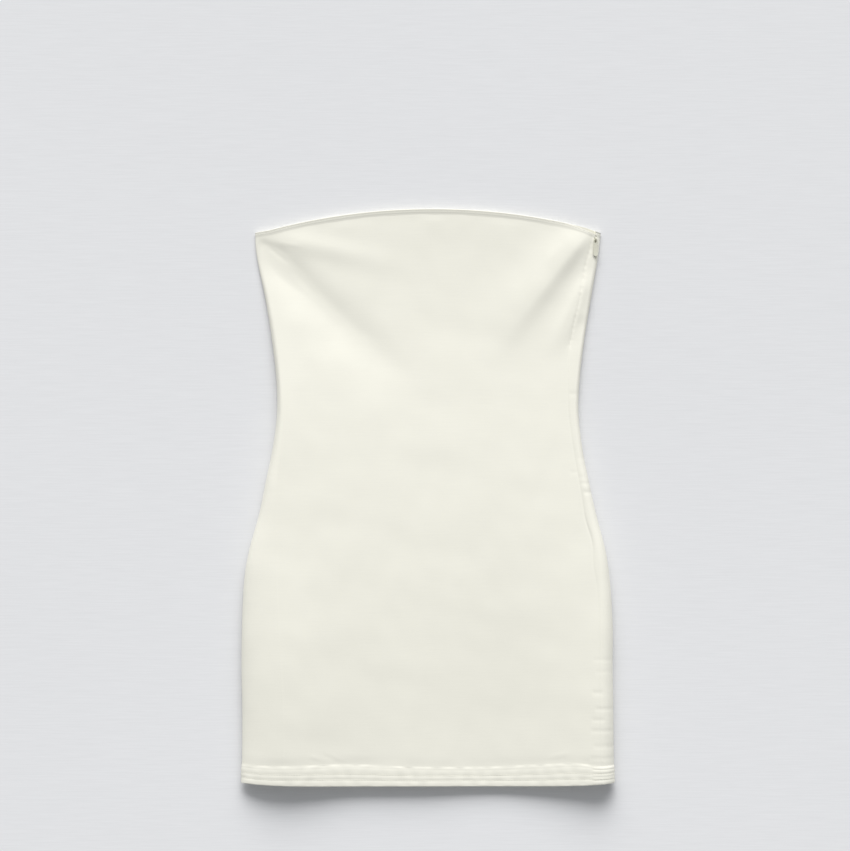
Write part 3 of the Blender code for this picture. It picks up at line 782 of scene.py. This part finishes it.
def makeFront():
    rows = panelRows(frontPanel["rows"])
    outer = frontGrid(rows, 0.0, frontPanel["columns"])
    inner = frontGrid(rows, dress["wall"], frontPanel["columns"])
    amount = smallRelief(outer[..., 0], outer[..., 1]) * keepOffSeams(outer, frontPanel["columns"])
    amount -= bandDip(outer[..., 0], outer[-1:, :, 1] - outer[..., 1])
    lift = clothNormals(outer) * amount[..., None]
    below = 1 - ease((outer[..., 1] - outer[:1, :, 1]) / binding["dropReach"])
    lift[..., 1] += cornerDrop(outer[..., 0], False) * below
    piece = clothShell("frontJersey", outer + lift, inner + lift, jerseyCloth, (5, 5))
    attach(piece, "dress")
    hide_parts("front_panel")


def makeBack():
    rows = panelRows(backPanel["rows"])
    outer = backGrid(rows, 0.0, backPanel["columns"])
    inner = backGrid(rows, dress["wall"], backPanel["columns"])
    piece = clothShell("backJersey", outer, inner, jerseyCloth, (3, 3))
    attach(piece, "dress")
    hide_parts("back_panel")


# Bound top edge: a narrow folded strip with a groove where its stitching pulls it in

binding = {
    "wall": 2.1,
    "proud": 0.5,
    "dropTop": 3.6,
    "dropLow": 1.8,
    "dropFrom": 148.0,
    "dropOver": 36.0,
    "dropReach": 40.0,      # how far down the panel follows its corner
    "columns": (12, 236, 20),
    "groove": 1.8,
    "flat": (0.395, 0.0105),
    "area": 0.0026,         # of the half that shows
    "crest": 0.3,
    "swell": 0.04,          # height of the slow swelling along the strip, and of the fine one
    "swellRun": 9.0,
    "swellWander": 1.2,
    "wanderRun": 31.0,
    "fineSwell": 0.02,
    "fineRun": 3.4,
    "backInside": 0.3,
    "edgeLift": 0.6,
    "edgeReach": 0.9,
    "fromTop": (0.0, 0.08, 0.2, 0.4, 0.7, 1.1, 1.5, 1.8, 2.1, 2.5, 2.9, 3.3, 3.8, 4.3, 4.8, 5.2, 5.5, 6.0),
    "face": (0.3, 0.12, 0.0, -0.06, -0.03, 0.06, 0.15, 0.19, 0.17, 0.12, 0.12, 0.18, 0.27, 0.35, 0.41,
             0.44, 0.46, 0.48),
}


def roundedInside(wall, proud, face):
    # the inner face of a strip, rounded where the outer face rounds at its two edges
    edge = np.array(face)
    edge[2:-2] = 0
    return wall - proud - edge * dress["foldedEdge"]


def bindingRelief(grid, fromTop):
    # the strip's crest stands higher in the middle, and its two ridges swell and narrow a little along it
    x = grid[..., 0]
    crest = binding["crest"] * (1 - (x / dress["topHalfWidth"]) ** 2) * (1 - fromTop / fromTop.max())[:, None]
    wander = binding["swellWander"] * np.sin(x / binding["wanderRun"])
    swell = binding["swell"] * np.sin(x / binding["swellRun"] + wander)
    swell += binding["fineSwell"] * np.sin(x / binding["fineRun"])
    return clothNormals(grid) * (crest + swell)[..., None]


def dressUp(piece, node):
    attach(piece, "dress")
    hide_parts(node)


def makeBindings():
    fromTop, face = np.array(binding["fromTop"]), np.array(binding["face"])
    rows = ClothRows(0.0, fromTop, dress["hemWidth"])
    inside = roundedInside(binding["wall"], binding["proud"], face)
    outer = frontGrid(rows, face - binding["proud"], binding["columns"])
    outer += bindingRelief(outer, fromTop)
    inner = frontGrid(rows, inside, binding["columns"])
    for grid in (outer, inner):
        low = (fromTop / fromTop.max())[:, None]
        drop = cornerDrop(grid[..., 0], True) * (1 - low) + cornerDrop(grid[..., 0], False) * low
        grid[..., 1] += drop
    piece = clothShell("topEdgeFront", outer, inner, bindingClothPaintedShade, (1, 2))
    dressUp(piece, "top_binding_front")
    sewnFace = outer
    outer = backGrid(rows, 0.0, binding["columns"], binding["proud"] - face)
    outer[..., 2] += edgeRound(fromTop)[:, None]
    inner = backGrid(rows, inside + binding["backInside"], binding["columns"])
    piece = clothShell("topEdgeBack", outer, inner, bindingClothPaintedShade, (1, 2))
    dressUp(piece, "top_binding_back")
    return sewnFace


def edgeRound(fromTop):
    # the lower face lifts off the floor at the strip's upper edge, where the cloth is folded
    return binding["edgeLift"] * (1 - ease(fromTop / binding["edgeReach"]))


# Hem: a turned-up band with a ridge along its top and two rows of stitching

hem = {
    "wall": 2.2,
    "proud": 0.8,
    "columns": (24, 246, 34),
    "flat": (0.441, 0.0235),
    "fromBandTop": (-0.6, 0.0, 0.5, 1.0, 1.6, 2.2, 2.8, 3.4, 3.9, 4.4, 5.0, 5.8, 6.8, 7.8, 8.6, 9.2, 9.7, 10.2,
                    10.9, 11.8, 12.8, 13.8, 14.5, 15.0, 15.4, 15.8, 16.4, 17.2, 18.4, 19.8, 20.8, 21.4, 21.75,
                    21.93, 22.0),
    "face": (0.78, 0.76, 0.71, 0.66, 0.6, 0.55, 0.51, 0.49, 0.48, 0.48, 0.48, 0.46, 0.44, 0.44, 0.44,
             0.44, 0.44, 0.44, 0.42, 0.38, 0.36, 0.38, 0.4, 0.4, 0.4, 0.4, 0.38, 0.34, 0.32, 0.34, 0.38,
             0.46, 0.6, 0.85, 1.2),
    "overlapFrom": 179.0,
    "overlapOver": 4.0,
    "overlapRise": 0.25,
    "overlapRound": 2.0,
    "dipReach": 11.0,       # how far the skirt's dip reaches above the band, and the band's own below its top
    "dipWithin": 5.0,
    "seed": 5,
    "ripples": 9,
    "rippleHeight": 0.01,
    "rippleRuns": (7.0, 34.0),
    "rippleSlants": (-0.8, 0.8),
    "rippleEnds": 1.5,
    "grooveRuns": (24.0, 40.0),   # a groove wanders and is drawn in unevenly over about this length
    "grooveDeep": 0.75,
    "grooveUneven": 0.35,
    "grooveBeat": 13.0,
    "grooveWander": 0.3,
}

# lines along the band where it is drawn in: distance from its top, depth and half width
hemGrooves = {
    "at": (3.7, 9.7, 15.4),
    "depth": (0.12, 0.15, 0.2),
    "half": (0.9, 1.3, 1.3),
}
hemSewn = hemGrooves["at"][1:]

# the same lines where the band overlaps at the side seam
overlapGrooves = {
    "at": (4.4, 9.2, 12.8, 16.6),
    "depth": (0.3, 0.3, 0.25, 0.3),
    "half": (0.8, 0.8, 0.8, 0.8),
}


def hemRelief(grid, fromBandTop):
    # stitching pulls the band into faint slanting ripples, and the band is thicker at the side seam
    x = grid[..., 0]
    at = np.array(fromBandTop)[:, None]
    width = dress["hemWidth"]
    dice = np.random.default_rng(hem["seed"])
    pull = np.zeros(x.shape)
    for _ in range(hem["ripples"]):
        length = dice.uniform(*hem["rippleRuns"])
        slant = dice.uniform(*hem["rippleSlants"])
        pull += np.sin((x + at * slant) * math.tau / length + dice.uniform(0, math.tau)) * length ** 0.5
    overlap = ease((x - hem["overlapFrom"]) / hem["overlapOver"])
    ends = ease(at / hem["rippleEnds"]) * ease((width - at) / hem["rippleEnds"])
    amount = pull * hem["rippleHeight"] * ends
    for place, depth, half in zip(*hemGrooves.values()):
        length = dice.uniform(*hem["grooveRuns"])
        phase = dice.uniform(0, math.tau)
        beat = np.sin(x / length * math.tau + phase) * np.cos(x / hem["grooveBeat"] + phase)
        uneven = hem["grooveDeep"] + hem["grooveUneven"] * beat
        line = place + hem["grooveWander"] * np.sin(x / length + phase)
        amount -= depth * uneven * (1 - overlap) * np.exp(-((at - line) / half) ** 2)
    for place, depth, half in zip(*overlapGrooves.values()):
        amount -= depth * overlap * ends * np.exp(-((at - place) / half) ** 2)
    soft = hem["overlapRound"]
    amount += hem["overlapRise"] * overlap * ease(at / soft) * ease((width - at) / soft)
    amount -= along(hemWave, "dip", x) * (1 - ease(at / hem["dipWithin"]))
    return clothNormals(grid) * amount[..., None]


def makeHems():
    at, face = np.array(hem["fromBandTop"]), np.array(hem["face"])
    rows = ClothRows(1.0, dress["bindingWidth"], dress["hemWidth"] - at)
    inside = roundedInside(hem["wall"], hem["proud"], face)
    outer = frontGrid(rows, face - hem["proud"], hem["columns"])
    outer += hemRelief(outer, at)
    inner = frontGrid(rows, inside, hem["columns"])
    piece = clothShell("hemFront", outer, inner, jerseyCloth, (1, 2))
    dressUp(piece, "hem_band_front")
    frontFace = outer
    outer = backGrid(rows, 0.0, hem["columns"], hem["proud"] - face)
    inner = backGrid(rows, inside + hem["proud"], hem["columns"], hem["proud"])
    piece = clothShell("hemBack", outer, inner, jerseyCloth, (1, 2))
    dressUp(piece, "hem_band_back")
    return frontFace, outer


# Stitches: short lengths of thread that rise out of the cloth and dive back in

stitch = {
    "pitch": 3.1,
    "length": 2.5,
    "radius": 0.17,
    "sink": 0.16,
    "sides": 6,
}

# a length of thread between its two ends: share of the way, height in radii, thickness
threadArch = {
    "share": (0.12, 0.5, 0.88),
    "lift": (0.2, 0.55, 0.2),
    "thick": (0.9, 1.0, 0.9),
}
threadEnd = 0.55


class Threads:
    # many small lengths of thread or coil, joined in one mesh
    def __init__(self):
        self.points = []
        self.faces = []

    def lay(self, start, end, up, radius, sink):
        # one length from start to end, whose two ends dive below the surface
        heading = (end - start) / np.linalg.norm(end - start)
        side = np.cross(up, heading)
        side /= np.linalg.norm(side)
        up = np.cross(heading, side)
        first = len(self.points)
        sides = stitch["sides"]
        rings = [(0.0, -sink, threadEnd)]
        rings += [(share, radius * lift, thick) for share, lift, thick in zip(*threadArch.values())]
        rings.append((1.0, -sink, threadEnd))
        for share, lift, thick in rings:
            middle = start + (end - start) * share + up * lift
            for k in range(sides):
                turn = math.tau * k / sides
                self.points.append(middle + (side * math.cos(turn) + up * math.sin(turn)) * radius * thick)
        for ring in range(len(rings) - 1):
            for k in range(sides):
                a = first + ring * sides + k
                b = first + ring * sides + (k + 1) % sides
                self.faces.append((a, b, b + sides, a + sides))
        self.faces.append(tuple(range(first + sides - 1, first - 1, -1)))
        last = first + (len(rings) - 1) * sides
        self.faces.append(tuple(range(last, last + sides)))

    def sew(self, line, normals, pitch, length, radius, sink):
        # stitches along a line of points
        step = np.linalg.norm(np.diff(line, axis=0), axis=1)
        run = np.concatenate(((0.0,), np.cumsum(step)))

        def at(distance):
            return np.array([np.interp(distance, run, line[:, i]) for i in range(3)])

        def upAt(distance):
            return np.array([np.interp(distance, run, normals[:, i]) for i in range(3)])

        place = pitch
        while place < run[-1] - pitch:
            self.lay(at(place), at(place + length), upAt(place + length / 2), radius, sink)
            place += pitch

    def make(self, name, material):
        points = toWorld(np.array(self.points))
        piece = buildMesh(name, points, self.faces, material, sharp=70.0)
        faceOut(piece)
        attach(piece, "dress")
        return piece


def faceOut(piece):
    mesh = bmesh.new()
    mesh.from_mesh(piece.data)
    bmesh.ops.recalc_face_normals(mesh, faces=mesh.faces)
    mesh.to_mesh(piece.data)
    mesh.free()


def nearest(values, wanted):
    return int(np.argmin(np.abs(np.array(values) - wanted)))


def makeStitches(bindingFace, hemFaces):
    sewn = Threads()
    for grid, side in zip(hemFaces, (1, -1)):
        normals = clothNormals(grid)
        for groove in hemSewn:
            row = nearest(hem["fromBandTop"], groove)
            sewn.sew(grid[row], normals[row] * side, stitch["pitch"], stitch["length"], stitch["radius"],
                     stitch["sink"])
    row = nearest(binding["fromTop"], binding["groove"])
    sewn.sew(bindingFace[row], clothNormals(bindingFace)[row], stitch["pitch"], stitch["length"],
             stitch["radius"], stitch["sink"])
    piece = sewn.make("stitching", thread)


makeFront()
makeBack()
print("panels made")
bindingFace = makeBindings()
hemFaces = makeHems()
makeStitches(bindingFace, hemFaces)
print("edges sewn")


# Concealed zip: two tapes inside the side seam, the coil under the slit, the slider and its pull tab

coil = {
    "pitch": 1.15,
    "reach": 1.7,
    "radius": 0.3,
    "sink": 0.25,
    "underCloth": 1.42,
    "foldRadius": 7.0,      # of the side fold, which turns the coil's reach into an angle
    "shortOf": 2.0,         # the coil ends before its tapes do
}

hinge = frame["record"]["behaviour"]["joints"][0]
acrossZip = -Vector(hinge["axis"]).normalized()
alongZip = Vector((0.0, 1.0, 0.0))
upZip = acrossZip.cross(alongZip)
zipPlace = Matrix.Translation(hinge["pos_m"]) @ Matrix((acrossZip, alongZip, upZip)).transposed().to_4x4()

zipTape = tapeMaterial()
zipCoil = coilMaterial()
zipEnamelPaintedShade = enamelMaterialPaintedShade()


def downRows(downs):
    # rows that lie at given distances down at the right edge
    top = topLine(dress["topHalfWidth"])
    share = (np.array(downs) - top) / (dress["length"] - top)
    return ClothRows(share, 0.0, 0.0)


def tapeGrid(rows, inset):
    inset = inset[:, None]
    innerX = rows.edge[1] - rows.round[1] - zipper["tapeWidth"] + zipper["tapeTuck"]
    down = rows.down(innerX)
    high = frontHeight(innerX, down) - inset - zipper["tapeDroop"]
    free = np.stack(np.broadcast_arrays(innerX, down, high), -1)
    low = np.stack(np.broadcast_arrays(innerX, down, inset), -1)
    overCount, underCount = zipper["tapeColumns"]
    over = rows.foldOver(1, np.linspace(quarter, 0, overCount)[None, :], inset)
    under = rows.foldUnder(1, np.linspace(0, quarter, underCount + 1)[None, 1:], inset)
    return np.concatenate((free, (free + over[:, :1]) / 2, over, under, (under[:, -1:] + low) / 2, low), 1)


def makeTapes():
    start = zipper["hingeDown"] + zipper["sliderLength"] / 2 + zipper["sliderRoom"]
    end = start + zipper["length"]
    behind = np.arange(zipper["tapeFrom"], start, 1.0)
    downs = np.concatenate((behind, np.linspace(start, end, zipper["tapeRows"])))
    rows = downRows(downs)
    behindSlider = zipper["tapeBehind"] * (1 - ease((downs - start + 1.0) / zipper["tapeEase"]))
    depth = zipper["underCloth"] + zipper["tapeGap"] + behindSlider
    outer = tapeGrid(rows, depth)
    inner = tapeGrid(rows, depth + zipper["tapeWall"])
    piece = clothShell("zipTapes", outer, inner, zipTape, (2, 1))
    dressUp(piece, "zip_chain")
    makeCoil(start, end - coil["shortOf"])


def makeCoil(start, end):
    teeth = Threads()
    rows = downRows(np.arange(start, end, coil["pitch"]))
    reach = coil["reach"] / coil["foldRadius"]
    left = rows.foldOver(1, rows.slit + reach, coil["underCloth"])[:, 0]
    middle = rows.foldOver(1, rows.slit, coil["underCloth"])[:, 0]
    right = rows.foldOver(1, rows.slit - reach, coil["underCloth"])[:, 0]
    for a, b, c in zip(left, middle, right):
        heading = (c - a) / np.linalg.norm(c - a)
        up = np.cross(heading, np.array((0.0, 1.0, 0.0)))
        up = up if up[2] + up[0] > 0 else -up
        teeth.lay(b - heading * coil["reach"], b + heading * coil["reach"], up, coil["radius"], coil["sink"])
    piece = teeth.make("zipCoil", zipCoil)


def localPiece(name, points, faces, material, body, node):
    placed = np.array([tuple(zipPlace @ (Vector(p) * mm)) for p in points])
    piece = buildMesh(name, placed, faces, material, sharp=40.0)
    faceOut(piece)
    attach(piece, body)
    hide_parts(node)


slider = {
    "gap": 0.6,
    "wall": 1.3,
    "inside": 3.0,
    "outside": 1.3,
    "corner": 1.1,
    "soft": 0.35,
    "tilt": 6.0,
    "bridgeRadius": 1.6,
    "bridgeWidth": 1.2,
    "bridgeThick": 0.85,
    "bridgeSteps": 22,
    "bridgeSides": 12,
    "bridgeSquare": 0.7,
    "pinOverCloth": 1.25,   # height of the tab's pin over the cloth, and the tilt of the cloth there
    "pinTilt": 18.0,
}


def ringFaces(rings, count, closed):
    faces = []
    last = rings if closed else rings - 1
    for r in range(last):
        for k in range(count):
            a, b = r * count + k, r * count + (k + 1) % count
            c, d = ((r + 1) % rings) * count + (k + 1) % count, ((r + 1) % rings) * count + k
            faces.append((a, b, c, d))
    if not closed:
        faces.append(tuple(range(count - 1, -1, -1)))
        faces.append(tuple(range((rings - 1) * count, rings * count)))
    return faces


def roundedBox(low, high, soft, radius, count=8):
    # rounded slab: a rounded outline in plan, drawn in at its top and bottom
    points = []
    corners = ((high[0], high[1], 0), (low[0], high[1], 1), (low[0], low[1], 2), (high[0], low[1], 3))
    levels = ((low[2], soft * 0.8), (low[2] + soft * 0.3, soft * 0.25), (low[2] + soft, 0.0),
              (high[2] - soft, 0.0), (high[2] - soft * 0.3, soft * 0.25), (high[2], soft * 0.8))
    for z, drawn in levels:
        for x, y, turn in corners:
            for k in range(count):
                angle = quarter * (turn + k / (count - 1))
                middleX = x - math.copysign(radius, x - (low[0] + high[0]) / 2)
                middleY = y - math.copysign(radius, y - (low[1] + high[1]) / 2)
                points.append((middleX + (radius - drawn) * math.cos(angle),
                               middleY + (radius - drawn) * math.sin(angle), z))
    return points, ringFaces(len(levels), 4 * count, False)


def makeSlider():
    top = -(slider["pinOverCloth"] + zipper["underCloth"] + slider["gap"])
    half = zipper["sliderLength"] / 2
    low = (-slider["inside"], -half, top - slider["wall"])
    high = (slider["outside"], half, top)
    points, faces = roundedBox(low, high, slider["soft"], slider["corner"])
    level = Matrix.Rotation(math.radians(slider["tilt"] - slider["pinTilt"]), 3, "Y")
    pivot = Vector((0, 0, top))
    points = [tuple(level @ (Vector(p) - pivot) + pivot) for p in points]
    steps, sides, square = slider["bridgeSteps"], slider["bridgeSides"], slider["bridgeSquare"]
    foot = top - slider["wall"] / 2
    path = [(-slider["bridgeRadius"], foot), (-slider["bridgeRadius"], foot / 2)]
    for i in range(steps + 1):
        angle = math.pi - math.pi * i / steps
        path.append((slider["bridgeRadius"] * math.cos(angle), slider["bridgeRadius"] * math.sin(angle)))
    path += [(slider["bridgeRadius"], foot / 2), (slider["bridgeRadius"], foot)]
    first = len(points)
    for i, (y, z) in enumerate(path):
        before, after = path[max(i - 1, 0)], path[min(i + 1, len(path) - 1)]
        heading = Vector((0, after[0] - before[0], after[1] - before[1])).normalized()
        outward = heading.cross(Vector((1, 0, 0)))
        for k in range(sides):
            turn = math.tau * k / sides
            u = math.copysign(abs(math.cos(turn)) ** square, math.cos(turn)) * slider["bridgeWidth"] / 2
            v = math.copysign(abs(math.sin(turn)) ** square, math.sin(turn)) * slider["bridgeThick"] / 2
            points.append(tuple(Vector((u, y, z)) + outward * v))
    faces += [tuple(i + first for i in face) for face in ringFaces(len(path), sides, False)]
    localPiece("zipSlider", points, faces, zipEnamelPaintedShade, "dress", "zip_slider")


pull = {
    "length": 20.0,
    "thick": 1.0,
    "topWidth": 4.4,
    "lowWidth": 5.6,
    "bar": 0.65,
    "eyeWidth": 2.4,
    "eyeLength": 4.0,
    "dish": 0.16,
    "soft": 0.34,
    "steps": 16,
}

# the dished face of the tab: share of the way from its rim to the eye, and how deep
tabDish = {
    "share": (0.06, 0.2, 0.5, 0.8, 0.94),
    "deep": (0.35, 1.0, 1.0, 0.9, 0.3),
}


def tabLoop(topRadius, topY, lowRadius, lowY, grow):
    # two round ends joined by straight sides, grown outwards or shrunk
    steps = pull["steps"]
    topRadius, lowRadius = topRadius + grow, lowRadius + grow
    turns = [math.pi * i / steps for i in range(steps + 1)]
    top = [(topRadius * math.cos(turn), topY + topRadius * math.sin(turn)) for turn in turns]
    side = [(-topRadius + (topRadius - lowRadius) * i / steps, topY + (lowY - topY) * i / steps)
            for i in range(1, steps)]
    low = [(-lowRadius * math.cos(turn), lowY - lowRadius * math.sin(turn)) for turn in turns]
    return top + side + low + [(-x, y) for x, y in reversed(side)]


def makePull():
    bar, half = pull["bar"], pull["thick"] / 2
    topRadius, lowRadius = pull["topWidth"] / 2, pull["lowWidth"] / 2
    eyeRadius = pull["eyeWidth"] / 2
    outside = (topRadius, bar - topRadius, lowRadius, bar - pull["length"] + lowRadius)
    eye = (eyeRadius, -bar - eyeRadius, eyeRadius, -bar - pull["eyeLength"] + eyeRadius)
    soft = pull["soft"]
    plain = tabLoop(*outside, -soft)
    rim = tabLoop(*eye, soft * 0.8)
    rings = [(tabLoop(*outside, 0.0), 0.0), (tabLoop(*outside, -0.1), half * 0.6), (plain, half)]
    for share, deep in zip(*tabDish.values()):
        middle = [(a[0] + (b[0] - a[0]) * share, a[1] + (b[1] - a[1]) * share) for a, b in zip(plain, rim)]
        rings.append((middle, half - pull["dish"] * deep))
    rings += [(rim, half), (tabLoop(*eye, 0.08), half * 0.65), (tabLoop(*eye, 0.0), 0.0)]
    rings += [(loop, -z) for loop, z in reversed(rings[1:-1])]
    points = [(x, y, z) for loop, z in rings for x, y in loop]
    count = len(rings[0][0])
    localPiece("zipPull", points, ringFaces(len(rings), count, True), zipEnamelPaintedShade, "pull", "zip_pull")


makeTapes()
makeSlider()
makePull()
print("zip made")


# Camera, light and table

photo = {
    "width": 850,
    "height": 851,
    "mmPerPixel": 1.1,
    "middleX": 427.8,       # column of the photo where X is 0
    "middleY": 497.5,       # row of the photo where Y is 0
    "cameraHeight": 6.0,
}

light = {
    "keyElevation": 30.5,
    "keySpread": 39.0,
    "keyStrength": 3.88,
    "keyTurns": (-14.0, 0.0, 14.0),  # three sources side by side make one wide one
    "keyColour": (1.0, 0.995, 0.985),
    "fill": 0.375,
    "fillColour": (0.965, 0.985, 1.0),
}


tableTop = {
    "half": 20.0,           # in metres
    "below": 0.3,
}


def addCamera():
    data = bpy.data.cameras.new("camera")
    camera = bpy.data.objects.new("camera", data)
    bpy.context.scene.collection.objects.link(camera)
    spanHigh = photo["height"] * photo["mmPerPixel"] * mm
    middleX = (photo["width"] / 2 - photo["middleX"]) * photo["mmPerPixel"] * mm
    middleY = (photo["middleY"] - photo["height"] / 2) * photo["mmPerPixel"] * mm
    camera.location = (middleX, middleY, photo["cameraHeight"])
    data.sensor_fit = "VERTICAL"
    data.sensor_height = 36.0
    data.lens = data.sensor_height * photo["cameraHeight"] / spanHigh
    data.clip_end = 100.0
    bpy.context.scene.camera = camera


def addLights():
    for turn in light["keyTurns"]:
        data = bpy.data.lights.new("window light", "SUN")
        data.energy = light["keyStrength"] / len(light["keyTurns"])
        data.angle = math.radians(light["keySpread"])
        data.color = light["keyColour"]
        lamp = bpy.data.objects.new("window light", data)
        elevation = math.radians(light["keyElevation"])
        azimuth = math.radians(turn)
        level = math.cos(elevation)
        toLight = Vector((math.sin(azimuth) * level, math.cos(azimuth) * level, math.sin(elevation)))
        lamp.rotation_euler = toLight.to_track_quat("Z", "Y").to_euler()
        bpy.context.scene.collection.objects.link(lamp)
    world = bpy.data.worlds.new("room light")
    world.use_nodes = True
    background = world.node_tree.nodes["Background"]
    background.inputs["Color"].default_value = (*light["fillColour"], 1.0)
    background.inputs["Strength"].default_value = light["fill"]
    bpy.context.scene.world = world
    bpy.context.scene.view_settings.view_transform = "Standard"


def addTable():
    half, z = tableTop["half"], -tableTop["below"] * mm
    points = np.array([(-half, -half, z), (half, -half, z), (half, half, z), (-half, half, z)])
    piece = buildMesh("table", points, [(0, 1, 2, 3)], tableMaterial())


addCamera()
addLights()
addTable()
print("camera, light and table placed")
